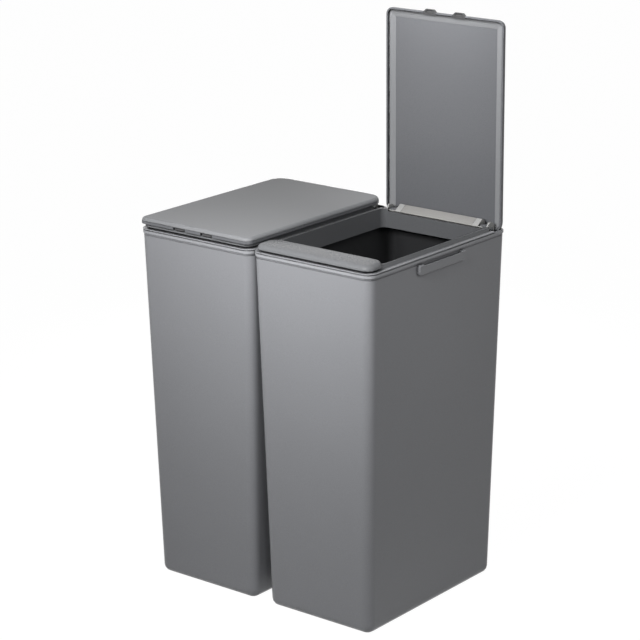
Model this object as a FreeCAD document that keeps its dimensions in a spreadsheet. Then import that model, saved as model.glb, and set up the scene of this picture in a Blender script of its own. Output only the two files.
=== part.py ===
import FreeCAD, Part
import math
import os
import Sketcher
from FreeCAD import Placement, Rotation, Vector

# Double recycling bin: two tapered tubs side by side, each with a lift-off lid unit.
# The unit is a frame with a front bar and a hinge across the rear, and its lid swings up
# and back on two arms. Millimetres. Front faces -Y, up is +Z, and the floor is Z = 0.
# Every piece is drawn about its own bin's centre line, lid closed, then put in its place.

doc = FreeCAD.newDocument("double_recycling_bin")

DRIVING_SIZES = {
    # tub
    "bin_width": 226.4,
    "bin_depth": 351.4,
    "tub_height": 580.0,
    "taper": 12.7,
    "corner_round": 15.0,
    "base_round": 12.0,
    "wall": 2.2,
    "floor_height": 5.5,
    "foot_ring": 24.0,
    "foot_recess": 2.5,
    "rim_groove_top": 572.8,
    "rim_groove_tall": 1.4,
    "rim_groove_deep": 0.8,
    "bin_gap": 3.9,
    "set_back": 1.4,
    # lid frame
    "flange_inset": 0.8,
    "flange_thick": 1.2,
    "ridge_inset": 6.3,
    "ridge_top": 588.0,
    "ridge_width": 4.5,
    "ridge_front": -168.5,
    "mouth_front": -133.0,
    "mouth_rear": 139.0,
    "mouth_round": 10.0,
    "skirt_bottom": 556.5,
    "skirt_wall": 2.0,
    "trough_floor": 558.5,
    "trough_half": 109.9,
    "trough_rear": 172.6,
    # front bar
    "bar_half": 112.2,
    "bar_front": -174.6,
    "bar_bottom": 583.2,
    "bar_top": 593.5,
    "bar_nose": 9.5,
    # lid
    "lid_half": 112.6,
    "lid_front": -178.5,
    "lid_rear": 165.0,
    "lid_bottom": 590.6,
    "lid_seam": 594.6,
    "lid_top": 600.6,
    "lid_front_round": 12.0,
    "lid_rear_round": 26.0,
    "lid_edge_round": 5.0,
    "cover_inset": 0.6,
    "cover_wall": 2.4,
    "seam_gap": 0.3,
    "liner_wall": 2.6,
    "panel_under": 596.0,
    # hinge
    "hinge_y": 150.7,
    "hinge_z": 580.8,
    "pin_round": 2.5,
    "running_gap": 0.05,
    "arm_inner": 81.5,
    "arm_width": 14.5,
    "knuckle_round": 6.0,
    "cover_round": 14.4,
    "strip_half": 69.8,
    "strip_wall": 1.4,
    "damper_round": 5.3,
    "bracket_inner": 70.2,
    "cheek_outer": 80.9,
    "ear_inner": 96.9,
    "ear_outer": 99.9,
    "ear_round": 12.0,
    "hinge_toe": 143.8,
    "hinge_front": 147.0,
    "hinge_rear": 157.5,
    "bracket_base": 4.9,
    "screw_round": 1.55,
    # lid catch
    "catch_middle": 28.0,
    "catch_width": 23.5,
    "catch_travel": 4.0,
    # side grip
    "grip_length": 119.0,
    "grip_tall": 16.0,
    "grip_bottom": 555.8,
    "grip_proud": 6.4,
    "grip_slot": 98.0,
}

sheet = doc.addObject("Spreadsheet::Sheet", "Sizes")
for row, (alias, value) in enumerate(DRIVING_SIZES.items(), start=1):
    sheet.set("A%d" % row, alias)
    sheet.set("B%d" % row, str(value))
    sheet.setAlias("B%d" % row, alias)
doc.recompute()


class Size:
    """A length: its number, and the sheet expression that keeps it up to date."""

    def __init__(self, value, text):
        self.value = value
        self.text = text

    def __add__(self, other):
        return Size(self.value + number(other), "(%s + %s)" % (self.text, words(other)))

    def __radd__(self, other):
        return self + other

    def __sub__(self, other):
        return Size(self.value - number(other), "(%s - %s)" % (self.text, words(other)))

    def __rsub__(self, other):
        return -self + other

    def __mul__(self, factor):
        return Size(self.value * number(factor), "(%s * %s)" % (self.text, words(factor)))

    def __truediv__(self, factor):
        return Size(self.value / number(factor), "(%s / %s)" % (self.text, words(factor)))

    def __neg__(self):
        return self * -1


def number(length):
    return length.value if isinstance(length, Size) else float(length)


def words(length):
    return length.text if isinstance(length, Size) else "%g" % length


class Sizes:
    """Reads the sheet: size.wall is the cell whose alias is wall."""

    def __getattr__(self, alias):
        return Size(float(sheet.get(alias)), "Sizes." + alias)


size = Sizes()

# Sizes that follow from the driving ones.
bin_half = size.bin_width / 2
depth_half = size.bin_depth / 2
base_half = bin_half - size.taper
base_depth_half = depth_half - size.taper
pitch = size.bin_width + size.bin_gap
wall_lean = math.degrees(math.atan(number(size.taper) / number(size.tub_height)))
pin_bore = size.pin_round + size.running_gap
arm_outer = size.arm_inner + size.arm_width
frame_top = size.tub_height + size.flange_thick
ridge_half = bin_half - size.ridge_inset
mouth_half = ridge_half - size.ridge_width
pieces = []

# Steps in the round of the tub's base.
BASE_STEPS = 4


def bind(thing, path, length):
    """Ties one property to the sheet, where its length comes from there."""
    if isinstance(length, Size):
        thing.setExpression(path, length.text)


def new_body(name):
    body = doc.addObject("PartDesign::Body", name)
    body.Label = name
    pieces.append(body)
    return body


def new_sketch(body, role, offset=0.0):
    """A sketch on one of the body's origin planes, moved along its normal."""
    plane = [feature for feature in body.Origin.OriginFeatures if feature.Role == role][0]
    sketch = body.newObject("Sketcher::SketchObject", "Sketch")
    sketch.AttachmentSupport = (plane, [""])
    sketch.MapMode = "FlatFace"
    sketch.AttachmentOffset = Placement(Vector(0, 0, number(offset)), Rotation())
    bind(sketch, "AttachmentOffset.Base.z", offset)
    return sketch


def hold(sketch, constraint, length):
    index = sketch.addConstraint(constraint)
    if isinstance(length, Size):
        name = "held_%d" % index
        sketch.renameConstraint(index, name)
        sketch.setExpression("Constraints." + name, length.text)


def hold_point(sketch, line, end, across=None, up=None):
    """Holds one end of a line at its distances from the sketch's origin."""
    for kind, length in (("DistanceX", across), ("DistanceY", up)):
        if length is not None:
            hold(sketch, Sketcher.Constraint(kind, -1, 1, line, end, number(length)), length)


def rounded_rectangle(sketch, left, right, front, rear, front_round, rear_round):
    """A rectangle with one corner radius in front and another behind."""
    x0, x1, y0, y1 = number(left), number(right), number(front), number(rear)
    radii = [front_round, rear_round, rear_round, front_round]
    near, far = number(front_round), number(rear_round)
    sides = [
        ((x0 + near, y0), (x1 - near, y0)),
        ((x1, y0 + near), (x1, y1 - far)),
        ((x1 - far, y1), (x0 + far, y1)),
        ((x0, y1 - far), (x0, y0 + near)),
    ]
    centres = [(x1 - near, y0 + near), (x1 - far, y1 - far), (x0 + far, y1 - far), (x0 + near, y0 + near)]
    first = sketch.GeometryCount
    for start, end in sides:
        sketch.addGeometry(Part.LineSegment(Vector(*start, 0), Vector(*end, 0)))
    for turn, (centre, radius) in enumerate(zip(centres, radii)):
        circle = Part.Circle(Vector(*centre, 0), Vector(0, 0, 1), number(radius))
        begin = (turn - 1) * math.pi / 2
        sketch.addGeometry(Part.ArcOfCircle(circle, begin, begin + math.pi / 2))
    for turn, radius in enumerate(radii):
        side, arc, following = first + turn, first + 4 + turn, first + (turn + 1) % 4
        sketch.addConstraint(Sketcher.Constraint("Tangent", side, 2, arc, 1))
        sketch.addConstraint(Sketcher.Constraint("Tangent", arc, 2, following, 1))
        sketch.addConstraint(Sketcher.Constraint("Vertical" if turn % 2 else "Horizontal", side))
        hold(sketch, Sketcher.Constraint("Radius", arc, number(radius)), radius)
    hold_point(sketch, first, 1, up=front)
    hold_point(sketch, first + 1, 1, across=right)
    hold_point(sketch, first + 2, 1, up=rear)
    hold_point(sketch, first + 3, 1, across=left)


def closed_profile(sketch, corners, arcs=()):
    """Corners in turn, anticlockwise. arcs gives the radius of an edge, by its first corner."""
    arcs = dict(arcs)
    first = sketch.GeometryCount
    count = len(corners)
    for place, (across, up) in enumerate(corners):
        start = Vector(number(across), number(up), 0)
        end = Vector(*[number(length) for length in corners[(place + 1) % count]], 0)
        if place in arcs:
            radius = number(arcs[place])
            middle = (start + end) / 2
            outward = (end - start).cross(Vector(0, 0, 1)).normalize()
            rise = radius - math.sqrt(radius ** 2 - ((end - start).Length / 2) ** 2)
            edge = Part.Arc(start, middle + outward * rise, end)
        else:
            edge = Part.LineSegment(start, end)
        sketch.addGeometry(edge)
    for place, (across, up) in enumerate(corners):
        here, following = first + place, first + (place + 1) % count
        sketch.addConstraint(Sketcher.Constraint("Coincident", here, 2, following, 1))
        hold_point(sketch, here, 1, across, up)
    for place, radius in arcs.items():
        hold(sketch, Sketcher.Constraint("Radius", first + place, number(radius)), radius)


def rectangle(sketch, left, right, front, rear):
    closed_profile(sketch, [(left, front), (right, front), (right, rear), (left, rear)])


def circle(sketch, across, up, radius):
    ring = sketch.addGeometry(Part.Circle(Vector(number(across), number(up), 0), Vector(0, 0, 1), number(radius)))
    hold_point(sketch, ring, 3, across, up)
    hold(sketch, Sketcher.Constraint("Radius", ring, number(radius)), radius)


def pad(body, sketch, length):
    feature = body.newObject("PartDesign::Pad", "Pad")
    feature.Profile = sketch
    feature.Length = number(length)
    bind(feature, "Length", length)
    doc.recompute()
    return feature


def cut(body, sketch, length, along=True, midplane=False):
    """Cuts along the sketch's normal, against it, or both ways, and checks that it cut."""
    before = body.Shape.Volume
    feature = body.newObject("PartDesign::Pocket", "Pocket")
    feature.Profile = sketch
    feature.Length = number(length)
    bind(feature, "Length", length)
    feature.Reversed = along
    feature.Midplane = midplane
    doc.recompute()
    if body.Shape.Volume >= before:
        raise RuntimeError("a pocket of %s cuts nothing" % body.Label)
    return feature


def loft(body, sketches, cutting=False):
    kind = "SubtractiveLoft" if cutting else "AdditiveLoft"
    feature = body.newObject("PartDesign::" + kind, kind)
    feature.Profile = sketches[0]
    feature.Sections = sketches[1:]
    feature.Ruled = True
    doc.recompute()
    return feature


def dress(kind, measure, body, base, length, chosen):
    """Rounds or bevels the edges for which chosen(edge) is true."""
    names = ["Edge%d" % n for n, edge in enumerate(base.Shape.Edges, start=1) if chosen(edge)]
    feature = body.newObject("PartDesign::" + kind, kind)
    feature.Base = (base, names)
    setattr(feature, measure, number(length))
    bind(feature, measure, length)
    doc.recompute()
    return feature


def fillet(body, base, radius, chosen):
    return dress("Fillet", "Radius", body, base, radius, chosen)


def chamfer(body, base, width, chosen):
    return dress("Chamfer", "Size", body, base, width, chosen)


def level(height):
    """True for the edges that lie flat at this height."""
    def test(edge):
        box = edge.BoundBox
        return abs(box.ZMin - number(height)) < 1e-3 and abs(box.ZMax - number(height)) < 1e-3
    return test


def tub_outline(body, height, inset):
    """The tub's plan at one height, drawn a little inside its outer face."""
    lean = size.taper * height / size.tub_height
    half = base_half + lean - inset
    half_depth = base_depth_half + lean - inset
    corner = size.corner_round - inset
    sketch = new_sketch(body, "XY_Plane", height)
    rounded_rectangle(sketch, -half, half, -half_depth, half_depth, corner, corner)
    return sketch


def tub_sections(body, floor, inset, base_round):
    """Plans that follow the rounded base up from the floor, and one at the rim."""
    sections = []
    for step in range(BASE_STEPS + 1):
        angle = math.radians(90) * step / BASE_STEPS
        drawn_in = inset + base_round * (1 - math.sin(angle))
        sections.append(tub_outline(body, floor + base_round * (1 - math.cos(angle)), drawn_in))
    sections.append(tub_outline(body, size.tub_height + 0.0, inset))
    return sections


def make_tub(name):
    """A tapered tub with a rounded base, a line round its rim and a foot ring under it."""
    body = new_body(name)
    loft(body, tub_sections(body, size.tub_height * 0, 0.0, size.base_round))
    loft(body, tub_sections(body, size.floor_height, size.wall, size.base_round - size.wall), cutting=True)
    ring = new_sketch(body, "XY_Plane", size.rim_groove_top)
    half = bin_half + 1.0
    half_depth = depth_half + 1.0
    rounded_rectangle(ring, -half, half, -half_depth, half_depth, size.corner_round, size.corner_round)
    half = bin_half - size.rim_groove_deep
    half_depth = depth_half - size.rim_groove_deep
    rounded_rectangle(ring, -half, half, -half_depth, half_depth, size.corner_round, size.corner_round)
    cut(body, ring, size.rim_groove_tall, along=False)
    recess = new_sketch(body, "XY_Plane")
    half = base_half - size.foot_ring
    half_depth = base_depth_half - size.foot_ring
    rounded_rectangle(recess, -half, half, -half_depth, half_depth, size.corner_round, size.corner_round)
    cut(body, recess, size.foot_recess)
    return body


def make_lid_frame(name):
    """The ring in the tub's mouth, with a skirt inside and a trough for the lid's tail behind."""
    body = new_body(name)
    ridge_rear = size.mouth_rear + size.ridge_width
    flange = new_sketch(body, "XY_Plane", size.tub_height)
    flange_half = bin_half - size.flange_inset
    flange_round = size.corner_round - size.flange_inset
    rounded_rectangle(flange, -flange_half, flange_half, size.flange_inset - depth_half, ridge_rear,
                      flange_round, size.skirt_wall)
    pad(body, flange, size.flange_thick)
    ridge = new_sketch(body, "XY_Plane", size.tub_height)
    rounded_rectangle(ridge, -ridge_half, ridge_half, size.ridge_front, ridge_rear,
                      size.mouth_round, size.mouth_round)
    pad(body, ridge, size.ridge_top - size.tub_height)
    hollow = new_sketch(body, "XY_Plane", size.tub_height)
    rectangle(hollow, size.ridge_width * 2 - ridge_half, ridge_half - size.ridge_width * 2,
              size.ridge_front + size.ridge_width, size.mouth_front - size.ridge_width)
    cut(body, hollow, size.ridge_top - size.tub_height - size.wall)
    skirt = new_sketch(body, "XY_Plane", size.skirt_bottom)
    skirt_half = mouth_half + size.skirt_wall
    skirt_round = size.mouth_round + size.skirt_wall
    rounded_rectangle(skirt, -skirt_half, skirt_half, size.mouth_front - size.skirt_wall,
                      size.mouth_rear + size.skirt_wall, skirt_round, skirt_round)
    pad(body, skirt, size.tub_height - size.skirt_bottom)
    trough = new_sketch(body, "XY_Plane", size.skirt_bottom)
    rounded_rectangle(trough, -size.trough_half, size.trough_half, size.mouth_rear,
                      size.trough_rear, size.skirt_wall, size.corner_round)
    pad(body, trough, size.trough_floor - size.skirt_bottom)
    for start in (-size.trough_half, size.trough_half - size.skirt_wall):
        gusset = new_sketch(body, "YZ_Plane", start)
        closed_profile(gusset, [
            (size.mouth_rear, size.skirt_bottom),
            (size.hinge_rear, size.skirt_bottom),
            (size.hinge_rear, size.trough_floor + size.skirt_wall),
            (ridge_rear, size.trough_floor + size.knuckle_round * 2),
            (ridge_rear, frame_top),
            (size.mouth_rear - size.ridge_width * 4, frame_top),
        ])
        pad(body, gusset, size.skirt_wall)
    mouth = new_sketch(body, "XY_Plane", size.skirt_bottom)
    rounded_rectangle(mouth, -mouth_half, mouth_half, size.mouth_front, size.mouth_rear,
                      size.mouth_round, size.mouth_round)
    cut(body, mouth, size.ridge_top - size.skirt_bottom)
    holes = new_sketch(body, "XY_Plane", size.skirt_bottom)
    for across, back in screw_spots():
        circle(holes, across, back, size.screw_round)
    cut(body, holes, size.trough_floor - size.skirt_bottom)
    return body


def make_front_bar(name):
    """The rounded bar across the front, which drops over the frame's front edge."""
    body = new_body(name)
    rear = size.mouth_front
    block = new_sketch(body, "XY_Plane", size.bar_bottom)
    rounded_rectangle(block, -size.bar_half, size.bar_half, size.bar_front, rear,
                      size.corner_round - 1.5, size.skirt_wall / 2)
    solid = pad(body, block, size.bar_top - size.bar_bottom)
    top = level(size.bar_top)
    fillet(body, solid, size.bar_nose, lambda edge: top(edge) and edge.BoundBox.YMin < number(rear) - 0.5
           and not edge.BoundBox.YMin > number(rear) - 2.0)
    seat = new_sketch(body, "XY_Plane", size.bar_bottom)
    rounded_rectangle(seat, -ridge_half - size.seam_gap, ridge_half + size.seam_gap,
                      size.ridge_front - size.seam_gap, rear + 5.0, size.mouth_round, 1.0)
    cut(body, seat, size.ridge_top - size.bar_bottom)
    hollow = new_sketch(body, "XY_Plane", size.ridge_top)
    rectangle(hollow, size.ridge_width - ridge_half, ridge_half - size.ridge_width,
              size.ridge_front + size.ridge_width, rear - size.ridge_width)
    cut(body, hollow, size.bar_top - size.ridge_top - size.cover_wall)
    return body


def lid_plan(sketch, inset):
    rounded_rectangle(sketch, inset - size.lid_half, size.lid_half - inset, size.lid_front + inset,
                      size.lid_rear - inset, size.lid_front_round - inset, size.lid_rear_round - inset)


def make_lid_cover(name):
    """The lid's outer shell: a plate with a turned-down, rounded edge."""
    body = new_body(name)
    bottom = size.lid_seam + size.seam_gap
    plate = new_sketch(body, "XY_Plane", bottom)
    lid_plan(plate, size.cover_inset)
    solid = pad(body, plate, size.lid_top - bottom)
    fillet(body, solid, size.lid_edge_round, level(size.lid_top))
    under = new_sketch(body, "XY_Plane", bottom)
    lid_plan(under, size.cover_inset + size.cover_wall)
    cut(body, under, size.lid_top - size.cover_wall - bottom)
    return body


def make_lid_liner(name):
    """The lid's underside: a skirt, a ledge, a sloped step, the panel and two hinge arms."""
    body = new_body(name)
    rim = new_sketch(body, "XY_Plane", size.lid_bottom)
    lid_plan(rim, 0.0)
    pad(body, rim, size.lid_seam - size.lid_bottom)
    plug = new_sketch(body, "XY_Plane", size.lid_seam)
    lid_plan(plug, size.cover_inset + size.cover_wall + size.seam_gap)
    pad(body, plug, size.lid_top - size.cover_wall - size.lid_seam)
    ledge = size.lid_seam - 1.0
    well = new_sketch(body, "XY_Plane", size.lid_bottom)
    lid_plan(well, size.liner_wall)
    cut(body, well, ledge - size.lid_bottom)
    step = new_sketch(body, "XY_Plane", ledge)
    lid_plan(step, size.liner_wall + 2.0)
    panel = new_sketch(body, "XY_Plane", size.panel_under)
    lid_plan(panel, size.liner_wall + 8.0)
    loft(body, [step, panel], cutting=True)
    for start in (size.arm_inner, -arm_outer):
        arm = new_sketch(body, "YZ_Plane", start)
        closed_profile(arm, [
            (size.hinge_y - size.knuckle_round, size.hinge_z),
            (size.hinge_y + size.knuckle_round, size.hinge_z),
            (size.hinge_rear, size.panel_under + 0.4),
            (size.hinge_front, size.panel_under + 0.4),
        ], {0: size.knuckle_round + 0.001})
        pad(body, arm, size.arm_width)
    bore = new_sketch(body, "YZ_Plane")
    circle(bore, size.hinge_y, size.hinge_z, pin_bore)
    cut(body, bore, pitch, midplane=True)
    notches = new_sketch(body, "XY_Plane", size.lid_bottom)
    for side in (-1, 1):
        middle = size.catch_middle * side
        reach = size.catch_width / 2 + size.seam_gap
        rectangle(notches, middle - reach, middle + reach, size.lid_front - 1.0, size.lid_front + 9.5)
    cut(body, notches, size.lid_seam - size.lid_bottom)
    return body


def make_lid_catch(name, side):
    """A loop-shaped tongue that stands out of the lid's front edge when the lid is open."""
    body = new_body(name)
    middle = size.catch_middle * side
    left = middle - size.catch_width / 2
    right = middle + size.catch_width / 2
    leg = size.liner_wall
    front = size.lid_front
    underside = new_sketch(body, "XY_Plane", size.lid_bottom + size.seam_gap)
    rectangle(underside, left, right, front, front + leg)
    pad(body, underside, size.lid_seam - size.seam_gap * 2 - size.lid_bottom)
    for start in (left, right - leg):
        runner = new_sketch(body, "XY_Plane", size.lid_seam - 2.1)
        rectangle(runner, start, start + leg, front + leg / 2, front + 8.5)
        pad(body, runner, 1.8)
    return body


def barrel_profile(sketch):
    """The hinge cover's section: a low toe in front, a 37 degree top and a round back."""
    closed_profile(sketch, [
        (size.hinge_toe, size.trough_floor),
        (size.hinge_rear, size.trough_floor),
        (size.hinge_rear, size.hinge_z - 12.7),
        (size.hinge_rear, size.hinge_z + 12.7),
        (size.hinge_rear - 2.0, size.hinge_z + 13.4),
        (size.hinge_front, size.hinge_z + 7.0),
        (size.hinge_toe, size.hinge_z + 6.8),
    ], {2: size.cover_round})


def make_hinge_cover(name):
    """The strip over the middle of the hinge."""
    body = new_body(name)
    outer = new_sketch(body, "YZ_Plane", -size.strip_half)
    barrel_profile(outer)
    pad(body, outer, size.strip_half * 2)
    inner = new_sketch(body, "YZ_Plane")
    shell = size.strip_wall
    closed_profile(inner, [
        (size.hinge_toe + shell, size.trough_floor - 1.0),
        (size.hinge_rear - shell, size.trough_floor - 1.0),
        (size.hinge_rear - shell, size.hinge_z - 12.0),
        (size.hinge_rear - shell, size.hinge_z + 11.6),
        (size.hinge_front + 0.6, size.hinge_z + 6.8 - shell),
        (size.hinge_toe + shell, size.hinge_z + 6.8 - shell),
    ], {2: size.cover_round - shell})
    cut(body, inner, pitch, midplane=True)
    return body


def screw_spots():
    """Where the bracket screws stand, between each bracket's cheek and its ear."""
    across = (size.cheek_outer + size.ear_inner) / 2
    return [(across * side, size.hinge_front + back) for side in (-1, 1) for back in (2.7, 7.9)]


def make_hinge_bracket(name, side):
    """A base with a broad cheek on its inner side and a round ear on its outer side."""
    body = new_body(name)

    def start(low, high):
        return low if side > 0 else -high

    cheek = new_sketch(body, "YZ_Plane", start(size.bracket_inner, size.cheek_outer))
    barrel_profile(cheek)
    pad(body, cheek, size.cheek_outer - size.bracket_inner)
    base = new_sketch(body, "YZ_Plane", start(size.cheek_outer - 1.0, size.ear_inner + 1.0))
    closed_profile(base, [
        (size.hinge_toe, size.trough_floor),
        (size.hinge_rear, size.trough_floor),
        (size.hinge_rear, size.trough_floor + size.bracket_base),
        (size.hinge_toe, size.trough_floor + size.bracket_base),
    ])
    pad(body, base, size.ear_inner - size.cheek_outer + 2.0)
    ear = new_sketch(body, "YZ_Plane", start(size.ear_inner, size.ear_outer))
    closed_profile(ear, [
        (size.hinge_toe, size.trough_floor),
        (size.hinge_rear, size.trough_floor),
        (size.hinge_rear, size.hinge_z - 9.89),
        (size.hinge_front + 1.0, size.hinge_z + 11.69),
        (size.hinge_toe, size.hinge_z + 6.8),
    ], {2: size.ear_round})
    pad(body, ear, size.ear_outer - size.ear_inner)
    bore = new_sketch(body, "YZ_Plane")
    circle(bore, size.hinge_y, size.hinge_z, pin_bore)
    cut(body, bore, pitch, midplane=True)
    holes = new_sketch(body, "XY_Plane", size.trough_floor)
    for across, back in screw_spots():
        if number(across) * side > 0:
            circle(holes, across, back, size.screw_round)
    cut(body, holes, size.bracket_base)
    return body


def rod(name, start, length, radius):
    """A plain round bar along the hinge axis."""
    bar = doc.addObject("Part::Cylinder", name)
    bar.Radius = number(radius)
    bind(bar, "Radius", radius)
    bar.Height = number(length)
    bind(bar, "Height", length)
    bar.Placement = Placement(Vector(number(start), number(size.hinge_y), number(size.hinge_z)),
                              Rotation(Vector(0, 1, 0), 90))
    return bar


def joined(kind, name, base, tool):
    result = doc.addObject("Part::" + kind, name)
    result.Base = base
    result.Tool = tool
    return result


def listed(result, name):
    result.Label = name
    pieces.append(result)
    return result


def make_hinge_pin(name, side, inner):
    """A headed pin from outside the ear to the given distance from the middle."""
    length = size.ear_outer - inner
    shank_start = inner if side > 0 else -size.ear_outer
    head_start = size.ear_outer if side > 0 else -size.ear_outer - 1.5
    shank = rod(name + "_shank", shank_start, length, size.pin_round)
    head = rod(name + "_head", head_start, 1.5, size.pin_round + 1.5)
    return listed(joined("Fuse", name, shank, head), name)


def make_damper_housing(name):
    """The closed barrel beside the left bracket, on a foot, with room for its rotor."""
    shell = rod(name + "_shell", -size.strip_half, 25.8, size.damper_round)
    foot = doc.addObject("Part::Box", name + "_foot")
    foot.Length = 14.0
    foot.Width = 6.0
    foot.Height = number(size.hinge_z - size.trough_floor)
    bind(foot, "Height", size.hinge_z - size.trough_floor)
    foot.Placement = Placement(Vector(-64.0, number(size.hinge_y) - 1.8, number(size.trough_floor)), Rotation())
    solid = joined("Fuse", name + "_solid", shell, foot)
    chamber = rod(name + "_chamber", 2.0 - size.strip_half, 21.8, size.damper_round - 1.2)
    mouth = rod(name + "_mouth", -size.strip_half - 1.0, 4.0, pin_bore)
    space = joined("Fuse", name + "_space", chamber, mouth)
    return listed(joined("Cut", name, solid, space), name)


def make_damper_rotor(name):
    """The drum in the housing and the shaft that turns with the left arm."""
    drum = rod(name + "_drum", 2.2 - size.strip_half, 21.4, size.damper_round - 1.28)
    shaft = rod(name + "_shaft", -size.arm_inner - 8.0, size.arm_inner + 8.0 - size.strip_half + 3.0,
                size.pin_round)
    return listed(joined("Fuse", name, drum, shaft), name)


def make_hinge_screws(name):
    """Four pan-head screws, two in each bracket."""
    screws = []
    for place, (across, back) in enumerate(screw_spots(), start=1):
        shank = doc.addObject("Part::Cylinder", "%s_shank_%d" % (name, place))
        shank.Radius = number(size.screw_round - size.running_gap)
        bind(shank, "Radius", size.screw_round - size.running_gap)
        shank.Height = number(size.bracket_base + size.trough_floor - size.skirt_bottom)
        bind(shank, "Height", size.bracket_base + size.trough_floor - size.skirt_bottom)
        shank.Placement = Placement(Vector(number(across), number(back), number(size.skirt_bottom)), Rotation())
        head = doc.addObject("Part::Cylinder", "%s_head_%d" % (name, place))
        head.Radius = 2.6
        head.Height = 2.0
        head.Placement = Placement(Vector(number(across), number(back),
                                          number(size.trough_floor + size.bracket_base)), Rotation())
        screws.append(joined("Fuse", "%s_%d" % (name, place), shank, head))
    group = doc.addObject("Part::Compound", name)
    group.Links = screws
    return listed(group, name)


def make_side_grip(name):
    """A lifting grip with round ends, open at the top for the fingers."""
    body = new_body(name)
    half = size.grip_length / 2
    plate = new_sketch(body, "YZ_Plane")
    rounded_rectangle(plate, -half, half, size.grip_bottom, size.grip_bottom + size.grip_tall, 7.5, 7.5)
    solid = pad(body, plate, size.grip_proud)
    chamfer(body, solid, 1.2, lambda edge: edge.BoundBox.XMin > number(size.grip_proud) - 0.01)
    top = size.grip_bottom + size.grip_tall
    for depth, reach in ((3.5, size.grip_proud + 1.0), (size.grip_tall - 3.0, size.grip_proud - 1.6)):
        slot = new_sketch(body, "XY_Plane", top)
        rectangle(slot, -1.0, reach, -size.grip_slot / 2, size.grip_slot / 2)
        cut(body, slot, depth, along=False)
    return body


def make_joining_clip(name, middle):
    """A wedge that fills the gap between the two tubs just under their rims."""
    body = new_body(name)
    low, high = 548.0, 570.0

    def gap_half(height):
        return size.bin_gap / 2 + size.taper * (1 - height / number(size.tub_height)) - 0.02

    wedge = new_sketch(body, "XZ_Plane", -middle - 15.0)
    closed_profile(wedge, [(-gap_half(low), low), (gap_half(low), low), (gap_half(high), high),
                           (-gap_half(high), high)])
    pad(body, wedge, 30.0)
    return body


def place(piece, side, opened=False):
    """Moves a piece to its bin, and turns it up about the hinge where its lid stands open."""
    at_bin = Placement(Vector(number(pitch) / 2 * side, number(size.set_back), 0), Rotation())
    turn = Rotation(Vector(-1, 0, 0), 90 if opened else 0)
    swing = Placement(Vector(0, 0, 0), turn, Vector(0, number(size.hinge_y), number(size.hinge_z)))
    piece.Placement = at_bin * swing * piece.Placement


def place_grip(piece, side):
    """Leans the grip against its bin's outer wall."""
    lean = Placement(Vector(number(base_half), 0, 0), Rotation(Vector(0, 1, 0), wall_lean))
    about = Placement(Vector(0, 0, 0), Rotation(Vector(0, 0, 1), 0 if side > 0 else 180))
    piece.Placement = about * lean
    place(piece, side)


def build_bin(word, side, opened):
    """One whole bin: word starts its pieces' names."""
    place(make_tub(word + "_tub"), side)
    place_grip(make_side_grip(word + "_side_grip"), side)
    place(make_lid_frame(word + "_lid_frame"), side)
    place(make_front_bar(word + "_front_bar"), side)
    place(make_hinge_cover(word + "_hinge_cover"), side)
    place(make_hinge_bracket(word + "_hinge_bracket_a", -1), side)
    place(make_hinge_bracket(word + "_hinge_bracket_b", 1), side)
    place(make_hinge_pin(word + "_hinge_pin_short", -1, size.arm_inner + 9.0), side)
    place(make_hinge_pin(word + "_hinge_pin_long", 1, size.bracket_inner + 3.0), side)
    place(make_hinge_screws(word + "_hinge_screws"), side)
    place(make_damper_housing(word + "_damper_housing"), side)
    place(make_damper_rotor(word + "_damper_rotor"), side, opened)
    place(make_lid_cover(word + "_lid_cover"), side, opened)
    place(make_lid_liner(word + "_lid_liner"), side, opened)
    for letter, hand in (("a", -1), ("b", 1)):
        catch = make_lid_catch(word + "_lid_catch_" + letter, hand)
        if opened:
            catch.Placement = Placement(Vector(0, -number(size.catch_travel), 0), Rotation())
        place(catch, side, opened)


def check_and_write():
    doc.recompute()
    for thing in doc.Objects:
        if "Invalid" in thing.State or "Error" in thing.State:
            raise RuntimeError("%s failed: %s" % (thing.Label, thing.State))
    os.makedirs("parts", exist_ok=True)
    for piece in pieces:
        if piece.Shape.isNull() or not piece.Shape.isValid():
            raise RuntimeError("%s has no valid shape" % piece.Label)
        piece.Shape.exportStep("parts/%s.step" % piece.Label)
        print("%-26s %2d solid(s) %10.0f mm3" % (piece.Label, len(piece.Shape.Solids), piece.Shape.Volume))


build_bin("left", -1, opened=False)
build_bin("right", 1, opened=True)
make_joining_clip("joining_clip_front", -120.0)
make_joining_clip("joining_clip_rear", 120.0)
check_and_write()
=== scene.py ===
"""Looks of the double recycling bin: moulded grey plastic in plain soft studio light.

Metres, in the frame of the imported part: +X right, +Y to the rear, +Z up, floor at Z = 0.
"""

import math

import bmesh
import bpy
from mathutils import Matrix, Vector


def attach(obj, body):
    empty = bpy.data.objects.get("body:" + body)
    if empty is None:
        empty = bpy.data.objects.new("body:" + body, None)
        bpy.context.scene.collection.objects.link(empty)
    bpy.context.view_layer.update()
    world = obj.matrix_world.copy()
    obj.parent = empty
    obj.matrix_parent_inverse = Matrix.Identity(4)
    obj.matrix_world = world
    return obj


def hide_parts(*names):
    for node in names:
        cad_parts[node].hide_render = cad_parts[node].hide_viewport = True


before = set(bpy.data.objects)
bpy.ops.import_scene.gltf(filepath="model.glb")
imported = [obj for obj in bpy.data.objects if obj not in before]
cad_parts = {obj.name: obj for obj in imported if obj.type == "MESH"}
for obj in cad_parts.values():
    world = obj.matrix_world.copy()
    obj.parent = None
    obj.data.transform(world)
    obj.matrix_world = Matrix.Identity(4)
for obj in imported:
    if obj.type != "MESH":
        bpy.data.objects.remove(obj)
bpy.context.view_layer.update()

MM = 0.001
SIDES = ("left", "right")

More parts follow.
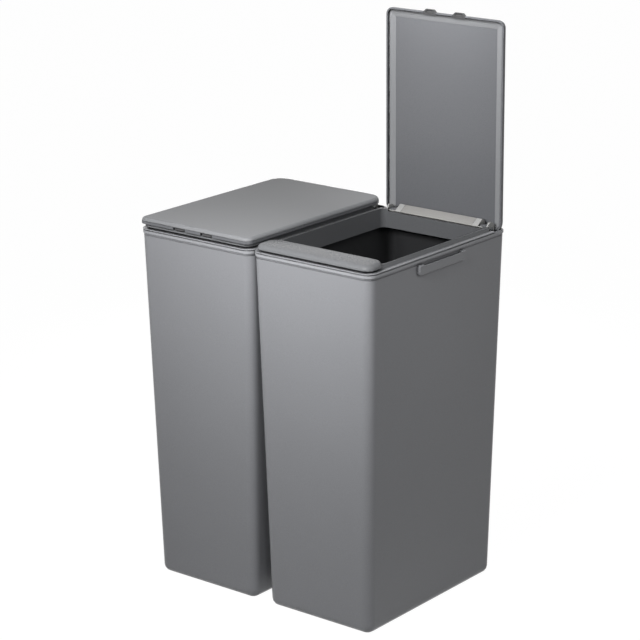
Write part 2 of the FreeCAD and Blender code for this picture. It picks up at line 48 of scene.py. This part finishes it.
# Sizes of the solids that the finer forms sit on, in millimetres about one bin's centre line.
PITCH = 230.3
SET_BACK = 1.4
BIN_HALF = 113.2
DEPTH_HALF = 175.7
TUB_HEIGHT = 580.0
TAPER = 12.7  # how far each wall leans in from the mouth to the base
CORNER_ROUND = 15.0
CORNER_STEPS = 10
RIDGE_REAR = 141.4
HINGE = (150.7, 580.8)  # the pin's middle: how far back and how high
LID_HALF = 112.6
LID_FRONT = -178.5
LID_REAR = 165.0
LID_FRONT_ROUND = 12.0
LID_REAR_ROUND = 26.0
CATCH_MIDDLE = 28.0
CATCH_SLIDE = 4.0  # the open lid's catches stand out by this much

# Points (back, height) that the hinge strip and the cups' cheeks share.
STRIP_LIP = [(143.2, 584.2), (141.8, 584.5), (141.8, 585.0), (142.2, 585.8)]
STRIP_TOP = [(143.0, 586.3), (155.3, 594.0), (156.4, 594.1), (157.5, 593.5)]
STRIP_REAR = 157.5
STRIP_ROUND = 14.4

# Looks of the moulded plastic.
FLAKE_GRAIN = 1.1  # mm, coarser than the real 0.1 to 0.3 mm so that it shows
CLOUD_SIZE = 160  # mm, about a hand's width
EDGE_RADIUS = 0.5  # mm, a moulding's usual edge
INSIDE_SHADE = 0.12  # painted shade: the tubs' inside faces are drawn near black
SHARP_EDGE = math.radians(32)


# ---------------------------------------------------------------- materials

def hand(side):
    """Which way a bin lies from the row's middle: 1 for the right one, -1 for the left."""
    return 1 if side == "right" else -1


def linear(hex_colour):
    """An sRGB hex value as a linear colour."""
    parts = [int(hex_colour[place:place + 2], 16) / 255 for place in (1, 3, 5)]
    return [p / 12.92 if p <= 0.04045 else ((p + 0.055) / 1.055) ** 2.4 for p in parts] + [1.0]


def add(tree, kind, settings=None, **links):
    """Adds a node. settings go to its properties or sockets, links join a socket to an output."""
    node = tree.nodes.new(kind)
    for name, value in (settings or {}).items():
        if hasattr(node, name) and name not in node.inputs:
            setattr(node, name, value)
        else:
            node.inputs[name].default_value = value
    for name, output in links.items():
        tree.links.new(output, node.inputs[name.replace("_", " ")])
    return node


def times(tree, first, second):
    """Adds a node that multiplies two outputs, and gives its output."""
    product = add(tree, "ShaderNodeMath", {"operation": "MULTIPLY"})
    tree.links.new(first, product.inputs[0])
    tree.links.new(second, product.inputs[1])
    return product.outputs["Value"]


def spread_noise(tree, noise, low, high):
    """Adds a node that brings the middle of a noise to low and high, and gives its output."""
    spread = {"From Min": 0.3, "From Max": 0.7, "To Min": low, "To Max": high}
    return add(tree, "ShaderNodeMapRange", spread, Value=noise.outputs["Fac"]).outputs["Result"]


def new_material(name):
    material = bpy.data.materials.new(name)
    material.use_nodes = True
    material.node_tree.nodes.clear()
    return material, material.node_tree


def inside_shade(tree, place, side):
    """Painted shade: 1 where a tub's face looks outwards and INSIDE_SHADE where it looks into the tub."""
    middle = (PITCH / 2 * MM * hand(side), SET_BACK * MM, TUB_HEIGHT / 2 * MM)
    outward = add(tree, "ShaderNodeVectorMath", {"operation": "SUBTRACT"})
    tree.links.new(place, outward.inputs[0])
    outward.inputs[1].default_value = middle
    facing = add(tree, "ShaderNodeVectorMath", {"operation": "DOT_PRODUCT"})
    tree.links.new(outward.outputs["Vector"], facing.inputs[0])
    tree.links.new(add(tree, "ShaderNodeTexCoord").outputs["Normal"], facing.inputs[1])
    turned = {"From Min": -0.02, "From Max": 0.0, "To Min": INSIDE_SHADE, "To Max": 1.0}
    return add(tree, "ShaderNodeMapRange", turned, Value=facing.outputs["Value"]).outputs["Result"]


def moulded_plastic(name, tone, roughness, tub=None, shine=0.25):
    """Injection-moulded polypropylene with metallic flake and a fine spark-eroded grain.

    The flake gives specks and a barely seen cloudiness, and the grain breaks a highlight into
    satin. Edges catch the light, narrow hollows get painted shade, and with tub so does a tub's inside.
    """
    material, tree = new_material(name)
    place = add(tree, "ShaderNodeTexCoord").outputs["Object"]
    cloud = add(tree, "ShaderNodeTexNoise", {"Scale": 1 / (CLOUD_SIZE * MM), "Detail": 2.0}, Vector=place)
    flake = add(tree, "ShaderNodeTexNoise",
                {"Scale": 1 / (FLAKE_GRAIN * MM), "Detail": 2.0, "Roughness": 0.65}, Vector=place)
    speck = spread_noise(tree, flake, 0.93, 1.07)
    drift = spread_noise(tree, cloud, 0.985, 1.015)
    # painted shade: ambient occlusion darkens the colour in narrow hollows, grooves and seams
    hollow = add(tree, "ShaderNodeAmbientOcclusion", {"samples": 6, "Distance": 5 * MM})
    darker = {"From Min": 0.35, "From Max": 0.95, "To Min": 0.18, "To Max": 1.0}
    shade = add(tree, "ShaderNodeMapRange", darker, Value=hollow.outputs["AO"])
    flake_tone_and_painted_shade = times(tree, times(tree, speck, drift), shade.outputs["Result"])
    # painted shade: with tub, the faces inside the tub are darkened
    if tub:
        flake_tone_and_painted_shade = times(tree, flake_tone_and_painted_shade, inside_shade(tree, place, tub))
    colour = add(tree, "ShaderNodeVectorMath", {"operation": "SCALE"}, Scale=flake_tone_and_painted_shade)
    colour.inputs[0].default_value = linear(tone)[:3]
    gloss = spread_noise(tree, flake, roughness - 0.02, roughness + 0.03)
    edge = add(tree, "ShaderNodeBevel", {"samples": 4, "Radius": EDGE_RADIUS * MM})
    relief = add(tree, "ShaderNodeBump", {"Strength": 0.1, "Distance": 0.1 * MM},
                 Height=flake.outputs["Fac"], Normal=edge.outputs["Normal"])
    shader = add(tree, "ShaderNodeBsdfPrincipled",
                 {"Metallic": 0.0, "IOR": 1.49, "Specular IOR Level": shine},
                 Base_Color=colour.outputs["Vector"], Roughness=gloss, Normal=relief.outputs["Normal"])
    add(tree, "ShaderNodeOutputMaterial", Surface=shader.outputs["BSDF"])
    return material


def zinc_plated_steel():
    """Turned steel rod with bright zinc: fine rings across its length under a cool shine.

    The rings are 1.2 mm apart, coarser than the marks of a real tool, so that they show.
    """
    material, tree = new_material("zinc_plated_steel")
    place = add(tree, "ShaderNodeTexCoord").outputs["Object"]
    rings = add(tree, "ShaderNodeTexWave", {"bands_direction": "X", "Scale": 1 / (1.2 * MM) / 6.3,
                                            "Distortion": 1.5, "Detail": 2.0}, Vector=place)
    gloss = add(tree, "ShaderNodeMapRange", {"To Min": 0.22, "To Max": 0.34}, Value=rings.outputs["Fac"])
    relief = add(tree, "ShaderNodeBump", {"Strength": 0.15, "Distance": 0.05 * MM},
                 Height=rings.outputs["Fac"])
    shader = add(tree, "ShaderNodeBsdfPrincipled", {"Metallic": 1.0, "Base Color": linear("#B9BBBD")},
                 Roughness=gloss.outputs["Result"], Normal=relief.outputs["Normal"])
    add(tree, "ShaderNodeOutputMaterial", Surface=shader.outputs["BSDF"])
    return material


def assign(material, names):
    """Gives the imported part's own pieces of these names a material."""
    for name in names:
        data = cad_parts[name].data
        data.materials.clear()
        data.materials.append(material)


def both(*names):
    """The names of both bins' pieces."""
    return ["%s_%s" % (side, name) for side in SIDES for name in names]


def finish_all_pieces():
    for side in SIDES:
        assign(moulded_plastic("moulded_tub_plastic_" + side, "#757679", 0.30, tub=side), [side + "_tub"])
    assign(moulded_plastic("moulded_grip_plastic", "#757679", 0.30), both("side_grip"))
    assign(moulded_plastic("moulded_lid_plastic", "#737476", 0.34, shine=0.1), both("lid_cover"))
    assign(moulded_plastic("moulded_liner_plastic", "#56575A", 0.28), both("lid_liner"))
    assign(moulded_plastic("moulded_bar_plastic", "#606163", 0.26, shine=0.12), both("front_bar"))
    # partly painted shade: the frame's plastic is darker than the tub's, and darker still so that the seams
    # under the lip and lid show as dark lines
    assign(moulded_plastic("moulded_frame_plastic", "#4E4F51", 0.34), both("lid_frame"))
    assign(moulded_plastic("moulded_hinge_cover_plastic", "#7C7B79", 0.34), both("hinge_cover"))
    assign(moulded_plastic("moulded_bracket_plastic", "#8A8A89", 0.34),
           both("hinge_bracket_a", "hinge_bracket_b"))
    assign(moulded_plastic("moulded_catch_plastic", "#3C3C3D", 0.45), both("lid_catch_a", "lid_catch_b"))
    assign(moulded_plastic("moulded_damper_plastic", "#232324", 0.4), both("damper_housing", "damper_rotor"))
    assign(moulded_plastic("moulded_clip_plastic", "#303031", 0.5),
           ["joining_clip_front", "joining_clip_rear"])
    assign(zinc_plated_steel(), both("hinge_pin_short", "hinge_pin_long", "hinge_screws"))


# ---------------------------------------------------------------- finer forms

def plan(half, front, rear, front_round, rear_round):
    """A rounded rectangle seen from above, anticlockwise from its front left corner."""
    corners = [(front_round - half, front + front_round, front_round, 180),
               (half - front_round, front + front_round, front_round, 270),
               (half - rear_round, rear - rear_round, rear_round, 0),
               (rear_round - half, rear - rear_round, rear_round, 90)]
    points = []
    for across, back, radius, start in corners:
        for step in range(CORNER_STEPS + 1):
            angle = math.radians(start + 90 * step / CORNER_STEPS)
            points.append((across + radius * math.cos(angle), back + radius * math.sin(angle)))
    return points


def mouth_line(proud, rear=None):
    """The tub's mouth, this far outside its face. With rear, the line stops there and is open."""
    points = plan(BIN_HALF + proud, -DEPTH_HALF - proud, DEPTH_HALF + proud,
                  CORNER_ROUND + proud, CORNER_ROUND + proud)
    if rear is None:
        return points
    front_half = points[:2 * (CORNER_STEPS + 1)]
    return [(-BIN_HALF - proud, rear)] + front_half + [(BIN_HALF + proud, rear)]


def lid_line(inset, rear_inset=None):
    """The lid's outline, drawn in by this much, and by rear_inset behind."""
    rear = LID_REAR - (inset if rear_inset is None else rear_inset)
    return plan(LID_HALF - inset, LID_FRONT + inset, rear, max(LID_FRONT_ROUND - inset, 1.0),
                max(LID_REAR_ROUND - inset, 1.0))


def add_solid(shape, loops, path_closed, section_closed=True):
    """Joins loops of points, one after the other, into a closed skin."""
    rows = [[shape.verts.new(point) for point in loop] for loop in loops]
    turns = len(rows) if section_closed else len(rows) - 1
    count = len(rows[0])
    for turn in range(turns):
        low, high = rows[turn], rows[(turn + 1) % len(rows)]
        for spot in range(count if path_closed else count - 1):
            after = (spot + 1) % count
            shape.faces.new((low[spot], low[after], high[after], high[spot]))
    if not section_closed:
        shape.faces.new(rows[0][::-1])
        shape.faces.new(rows[-1])
    if not path_closed:
        shape.faces.new([row[0] for row in rows])
        shape.faces.new([row[-1] for row in rows][::-1])


def sweep(shape, line, section):
    """Carries a section of (proud, height) points round a line that depends on proud."""
    first = line(0.0)
    add_solid(shape, [[(across, back, height) for across, back in line(proud)]
                      for proud, height in section],
              path_closed=len(first) == 4 * (CORNER_STEPS + 1))


def extrude(shape, profile, left, right):
    """A profile of (back, height) points, from one distance across to another."""
    add_solid(shape, [[(across, back, height) for back, height in profile] for across in (left, right)],
              path_closed=True, section_closed=False)


def arc(middle, radius, start, end, steps=14):
    """Points on an arc in the profile plane, in degrees from straight back, upwards."""
    angles = [math.radians(start + (end - start) * step / steps) for step in range(steps + 1)]
    return [(middle[0] + radius * math.cos(angle), middle[1] + radius * math.sin(angle))
            for angle in angles]


def bin_middle(side):
    """The middle of a bin's plan in the row, in millimetres."""
    return Vector((PITCH / 2 * hand(side), SET_BACK, 0))


def settle(points, side, on_lid, slide):
    """Brings a bin's own millimetres to the row's metres, with the right lid standing open."""
    shift = bin_middle(side)
    hinge = Vector((0, HINGE[0], HINGE[1]))
    turn = Matrix.Rotation(math.radians(90 if on_lid and side == "right" else 0), 3, (-1, 0, 0))
    out = Vector((0, -slide if side == "right" else 0, 0))
    for point in points:
        point.co = (turn @ (point.co + out - hinge) + hinge + shift) * MM


def finish_piece(name, shape, side, body, material, on_lid=False, slide=0.0, stands_for=None):
    """Turns a shape into a piece in its place that rides on its body."""
    settle(shape.verts, side, on_lid, slide)
    bmesh.ops.recalc_face_normals(shape, faces=shape.faces)
    mesh = bpy.data.meshes.new(name)
    shape.to_mesh(mesh)
    shape.free()
    mesh.polygons.foreach_set("use_smooth", [True] * len(mesh.polygons))
    mesh.set_sharp_from_angle(angle=SHARP_EDGE)
    mesh.materials.append(material)
    piece = bpy.data.objects.new(name, mesh)
    bpy.context.scene.collection.objects.link(piece)
    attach(piece, body)
    if stands_for:
        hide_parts(stands_for)


def make_rim_band(side, material):
    """The proud, polished band round the tub's mouth, above its groove."""
    shape = bmesh.new()
    sweep(shape, mouth_line,
          [(-1.0, 574.9), (0.8, 574.9), (1.2, 575.3), (1.2, 578.9), (0.8, 579.3), (-1.0, 579.3)])
    finish_piece(side + "_rim_band", shape, side, "bins", material)


def make_frame_lip(side, material):
    """The frame's thin lip, which lies over the tub's rim with a dark seam below it."""
    shape = bmesh.new()
    sweep(shape, lambda proud: mouth_line(proud, rear=RIDGE_REAR),
          [(-6.4, 580.8), (1.1, 580.8), (1.4, 581.1), (1.4, 581.9), (1.0, 582.2), (-6.4, 582.2)])
    finish_piece(side + "_frame_lip", shape, side, side + "_lid_unit", material)


def make_lid_ledge(side, material):
    """The ledge and long slope round the lid's underside, inside its skirt."""
    shape = bmesh.new()
    low, high = 593.6, 596.1
    lines = [(lid_line(2.4), low), (lid_line(5.6), low), (lid_line(15.6, 10.6), high), (lid_line(2.4), high)]
    add_solid(shape, [[(across, back, height) for across, back in line] for line, height in lines],
              path_closed=True)
    finish_piece(side + "_lid_ledge", shape, side, side + "_lid", material, on_lid=True)


def make_lid_catches(side, material):
    """Two tapered tongues with a shallow dish, out of the lid's front edge."""
    front = LID_FRONT
    wide, narrow = 12.2, 8.6
    for letter, way in (("a", -1), ("b", 1)):
        shape = bmesh.new()
        middle = CATCH_MIDDLE * way
        outline = [(-narrow + 1.0, front), (narrow - 1.0, front), (narrow, front + 0.8), (wide, front + 4.2),
                   (wide, front + 8.0), (-wide, front + 8.0), (-wide, front + 4.2), (-narrow, front + 0.8)]
        dish = [(across * 0.72, front + 1.1 + (back - front) * 0.72) for across, back in outline]
        floor = [(across * 0.60, front + 1.6 + (back - front) * 0.66) for across, back in outline]
        loops = [(outline, 594.2), (outline, 591.1), (dish, 591.1), (floor, 592.2)]
        add_solid(shape, [[(middle + across, back, height) for across, back in loop]
                          for loop, height in loops],
                  path_closed=True, section_closed=False)
        name = "%s_lid_catch_%s" % (side, letter)
        finish_piece(name + "_tongue", shape, side, side + "_lid_catches", material,
                     on_lid=True, slide=CATCH_SLIDE, stands_for=name)


def make_hinge_strip(side, material):
    """The strip over the hinge: a rounded front lip, a sloped top and a round back."""
    shape = bmesh.new()
    low, half = 560.0, 69.8
    outer = [(143.2, low)] + STRIP_LIP + STRIP_TOP + arc(HINGE, STRIP_ROUND, 61, -61) + [(STRIP_REAR, low)]
    inner = [(156.1, low), (156.1, 569.6)] + arc(HINGE, 13.0, -60, 60)
    inner += [(155.4, 592.2), (144.6, 585.4), (144.6, low)]
    extrude(shape, outer + inner, -half, half)
    finish_piece(side + "_hinge_strip", shape, side, side + "_lid_unit", material,
                 stands_for=side + "_hinge_cover")


def make_hinge_cups(side, material):
    """Each lid arm's cup: a broad cheek, a low front wall, a base and a round ear."""
    low = 558.6
    cheek = STRIP_LIP + STRIP_TOP + arc(HINGE, STRIP_ROUND, 61, -61) + [(STRIP_REAR, low), (143.2, low)]
    wall = [(143.1, low), (143.1, 584.2), (141.8, 584.5), (141.8, 585.0), (142.2, 585.7), (143.9, 585.7),
            (144.2, 585.3), (144.2, low)]
    base = [(141.9, low), (141.9, 563.4), (157.4, 563.4), (157.4, low)]
    ear = [(141.8, low), (141.8, 585.0), (142.3, 585.9)] + arc(HINGE, 12.0, 103, -55)
    ear += [(STRIP_REAR, 570.9), (STRIP_REAR, low)]
    for letter, way in (("a", -1), ("b", 1)):
        shape = bmesh.new()
        for profile, near, far in ((cheek, 70.2, 80.9), (wall, 80.5, 97.2), (base, 80.5, 97.2),
                                   (ear, 96.9, 99.9)):
            extrude(shape, profile, near * way, far * way)
        name = "%s_hinge_bracket_%s" % (side, letter)
        finish_piece(name + "_cup", shape, side, side + "_lid_unit", material,
                     stands_for=name)


def box_shape(low, high):
    """A plain box between two corners."""
    shape = bmesh.new()
    rectangle = [(low[0], low[1]), (high[0], low[1]), (high[0], high[1]), (low[0], high[1])]
    add_solid(shape, [[(across, back, height) for across, back in rectangle] for height in (low[2], high[2])],
              path_closed=True, section_closed=False)
    return shape


def carved(shape, cutters):
    """Cuts boxes out of a shape and gives the result as a new shape, still in millimetres."""
    bodies = []
    for form in [shape] + cutters:
        bmesh.ops.recalc_face_normals(form, faces=form.faces)
        mesh = bpy.data.meshes.new("blank")
        form.to_mesh(mesh)
        form.free()
        blank = bpy.data.objects.new("blank", mesh)
        bpy.context.scene.collection.objects.link(blank)
        bodies.append(blank)
    for cutter in bodies[1:]:
        trim = bodies[0].modifiers.new("trim", "BOOLEAN")
        trim.operation = "DIFFERENCE"
        trim.solver = "EXACT"
        trim.object = cutter
    seen = bodies[0].evaluated_get(bpy.context.evaluated_depsgraph_get())
    result = bmesh.new()
    result.from_mesh(seen.to_mesh())
    seen.to_mesh_clear()
    for blank in bodies:
        mesh = blank.data
        bpy.data.objects.remove(blank)
        bpy.data.meshes.remove(mesh)
    return result


def make_front_bar(side, material):
    """The bar across the front: a flat top, a round nose, an undercut and round ends behind."""
    shape = bmesh.new()
    front, rear, half, nose = -174.6, -133.0, 110.5, 7.4
    levels = [(2.2, 583.6), (0.0, 585.8)]
    levels += [(nose * (1 - math.cos(math.radians(angle))), 586.1 + nose * math.sin(math.radians(angle)))
               for angle in (0, 10, 20, 30, 40, 50, 60, 70, 80, 90)]
    add_solid(shape, [[(across, back, height) for across, back in
                       plan(half - inset, front + inset, rear, 15.0 - inset, 17.0 - inset / 2)]
                      for inset, height in levels], path_closed=True, section_closed=False)
    seat = box_shape((-107.2, -168.8, 583.0), (107.2, -125.0, 588.0))
    hollow = box_shape((-92.5, -164.0, 587.5), (92.5, -137.5, 591.1))
    finish_piece(side + "_front_bar_moulding", carved(shape, [seat, hollow]), side, side + "_lid_unit",
                 material, stands_for=side + "_front_bar")


def make_side_grip(side, material):
    """The lifting grip: a plate with a slot for the fingers behind its top edge."""
    shape = bmesh.new()
    loops = [(0.0, -0.5), (0.0, 4.2), (1.2, 5.4)]
    add_solid(shape, [[(across, back, height) for back, height in
                       plan(59.5 - inset, 555.8 + inset, 571.6 - inset, 4.5 - inset, 2.0 - inset)]
                      for inset, across in loops], path_closed=True, section_closed=False)
    slot = box_shape((-1.0, -49.0, 558.8), (3.8, 49.0, 573.0))
    notch = box_shape((-1.0, -49.0, 569.8), (7.0, 49.0, 573.0))
    plate = carved(shape, [slot, notch])
    lean = Matrix.Rotation(math.atan(TAPER / TUB_HEIGHT), 3, "Y")
    for point in plate.verts:
        leaned = lean @ point.co + Vector((BIN_HALF - TAPER, 0, 0))
        point.co = Vector((leaned.x * hand(side), leaned.y * hand(side), leaned.z))
    finish_piece(side + "_grip_moulding", plate, side, "bins", material,
                 stands_for=side + "_side_grip")


def make_frame(side, material):
    """The frame, with its rear run lower and thinner than its sides, in front of the hinge."""
    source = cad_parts[side + "_lid_frame"]
    shape = bmesh.new()
    shape.from_mesh(source.data)
    bmesh.ops.remove_doubles(shape, verts=shape.verts, dist=0.01 * MM)
    for point in shape.verts:
        point.co = point.co / MM - bin_middle(side)
    past = (120.0, 145.0, 590.0)  # clear of the frame's side, rear and top
    low_run = box_shape((-past[0], 139.0, 583.4), past)
    thin_run = box_shape((-past[0], RIDGE_REAR, 579.9), past)
    finish_piece(side + "_frame_moulding", carved(shape, [low_run, thin_run]), side, side + "_lid_unit",
                 material, stands_for=side + "_lid_frame")


def make_finer_forms():
    """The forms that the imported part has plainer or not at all."""
    known = bpy.data.materials
    # painted highlight: the rim band is the tub's plastic, a little glossier, and a little lighter to stand
    # in for the light it catches
    band = moulded_plastic("polished_rim_plastic_with_painted_highlight", "#838487", 0.28)
    # painted highlight: the frame's lip is much lighter than the frame, for the bright line where its edge
    # catches the light
    lip = moulded_plastic("lip_plastic_lightened_as_painted_highlight", "#858689", 0.28)
    for side in SIDES:
        make_rim_band(side, band)
        make_frame_lip(side, lip)
        make_lid_ledge(side, known["moulded_lid_plastic"])
        make_lid_catches(side, known["moulded_catch_plastic"])
        make_hinge_strip(side, known["moulded_hinge_cover_plastic"])
        make_hinge_cups(side, known["moulded_bracket_plastic"])
        make_front_bar(side, known["moulded_bar_plastic"])
        make_side_grip(side, known["moulded_grip_plastic"])
        make_frame(side, known["moulded_frame_plastic"])


# ---------------------------------------------------------------- studio

def aim(thing, target):
    """Turns a lamp or camera to look at a point."""
    thing.rotation_mode = "QUATERNION"
    thing.rotation_quaternion = (Vector(target) - thing.location).to_track_quat("-Z", "Y")


def softbox(name, spot, target, width, height, power, spread=180):
    """A rectangular lamp. Its spread, in degrees, keeps its light off what it isn't for."""
    lamp = bpy.data.lights.new(name, "AREA")
    lamp.shape = "RECTANGLE"
    lamp.size = width
    lamp.size_y = height
    lamp.energy = power
    lamp.spread = math.radians(spread)
    holder = bpy.data.objects.new(name, lamp)
    bpy.context.scene.collection.objects.link(holder)
    holder.location = spot
    aim(holder, target)


def white_for_the_eye(tree, lit, seen):
    """Camera, glossy and transmission rays see one shader, and light sees the other."""
    path = add(tree, "ShaderNodeLightPath")
    first = add(tree, "ShaderNodeMath", {"operation": "MAXIMUM"})
    tree.links.new(path.outputs["Is Camera Ray"], first.inputs[0])
    tree.links.new(path.outputs["Is Glossy Ray"], first.inputs[1])
    second = add(tree, "ShaderNodeMath", {"operation": "MAXIMUM"})
    tree.links.new(first.outputs["Value"], second.inputs[0])
    tree.links.new(path.outputs["Is Transmission Ray"], second.inputs[1])
    mix = add(tree, "ShaderNodeMixShader")
    tree.links.new(second.outputs["Value"], mix.inputs[0])
    tree.links.new(lit, mix.inputs[1])
    tree.links.new(seen, mix.inputs[2])
    return mix.outputs[0]


def studio_world():
    """White behind the object, and a little even light from all round."""
    world = bpy.data.worlds.new("studio")
    world.use_nodes = True
    tree = world.node_tree
    tree.nodes.clear()
    lit = add(tree, "ShaderNodeBackground", {"Color": linear("#FFFFFF"), "Strength": 0.045})
    seen = add(tree, "ShaderNodeBackground", {"Color": linear("#FFFFFF"), "Strength": 1.0})
    result = white_for_the_eye(tree, lit.outputs[0], seen.outputs[0])
    add(tree, "ShaderNodeOutputWorld", Surface=result)
    bpy.context.scene.world = world


def studio_floor():
    """Plain white paper. The eye sees it nearly white, with the object's soft shadow."""
    material, tree = new_material("white_paper_floor")
    lit = add(tree, "ShaderNodeBsdfDiffuse", {"Color": linear("#C8C8C8")})
    glow = add(tree, "ShaderNodeEmission", {"Color": linear("#FFFFFF"), "Strength": 1.12})
    part = add(tree, "ShaderNodeMixShader", {"Fac": 0.88})
    tree.links.new(lit.outputs[0], part.inputs[1])
    tree.links.new(glow.outputs[0], part.inputs[2])
    add(tree, "ShaderNodeOutputMaterial", Surface=white_for_the_eye(tree, lit.outputs[0], part.outputs[0]))
    half = 6.0
    mesh = bpy.data.meshes.new("floor")
    corners = [(-half, -half, 0), (half, -half, 0), (half, half, 0), (-half, half, 0)]
    mesh.from_pydata(corners, [], [(0, 1, 2, 3)])
    mesh.materials.append(material)
    floor = bpy.data.objects.new("floor", mesh)
    floor.location = (0, 0, -0.2 * MM)  # just clear of the tubs' undersides
    bpy.context.scene.collection.objects.link(floor)


def studio_lamps():
    """Spots, targets and sizes in metres, powers in watts."""
    softbox("front_softbox", (0.14, -0.78, 1.02), (0.06, -0.17, 0.56), 0.6, 0.25, 4.8, spread=96)
    softbox("raised_lid_softbox", (0.1, -0.02, 1.16), (0.12, 0.17, 0.92), 0.3, 0.1, 0.75, spread=70)
    softbox("left_softbox", (-1.3, -1.3, 0.55), (-0.1, -0.17, 0.55), 0.5, 0.7, 1.8)
    softbox("corner_strip", (1.15, -1.0, 0.5), (0.1, -0.17, 0.4), 0.06, 0.9, 2.7)
    softbox("side_softbox", (0.95, 0.15, 1.05), (0.23, 0.0, 0.55), 0.3, 0.8, 1.0, spread=100)
    softbox("rear_softbox", (-1.1, 1.45, 0.36), (-0.1, 0.17, 0.4), 0.6, 0.5, 4, spread=120)


def photograph_camera():
    """Stands where the photograph was taken from: a long lens, a little above the lids."""
    data = bpy.data.cameras.new("camera")
    data.sensor_width = 36.0
    data.lens = 133.92
    data.shift_x = -0.0971
    camera = bpy.data.objects.new("camera", data)
    bpy.context.scene.collection.objects.link(camera)
    camera.location = (2.2683, -2.8244, 1.5304)
    aim(camera, (0.1164, 0.0014, 0.4513))
    data.clip_end = 50.0
    bpy.context.scene.camera = camera


finish_all_pieces()
make_finer_forms()
studio_world()
studio_floor()
studio_lamps()
photograph_camera()
bpy.context.scene.view_settings.view_transform = "Standard"
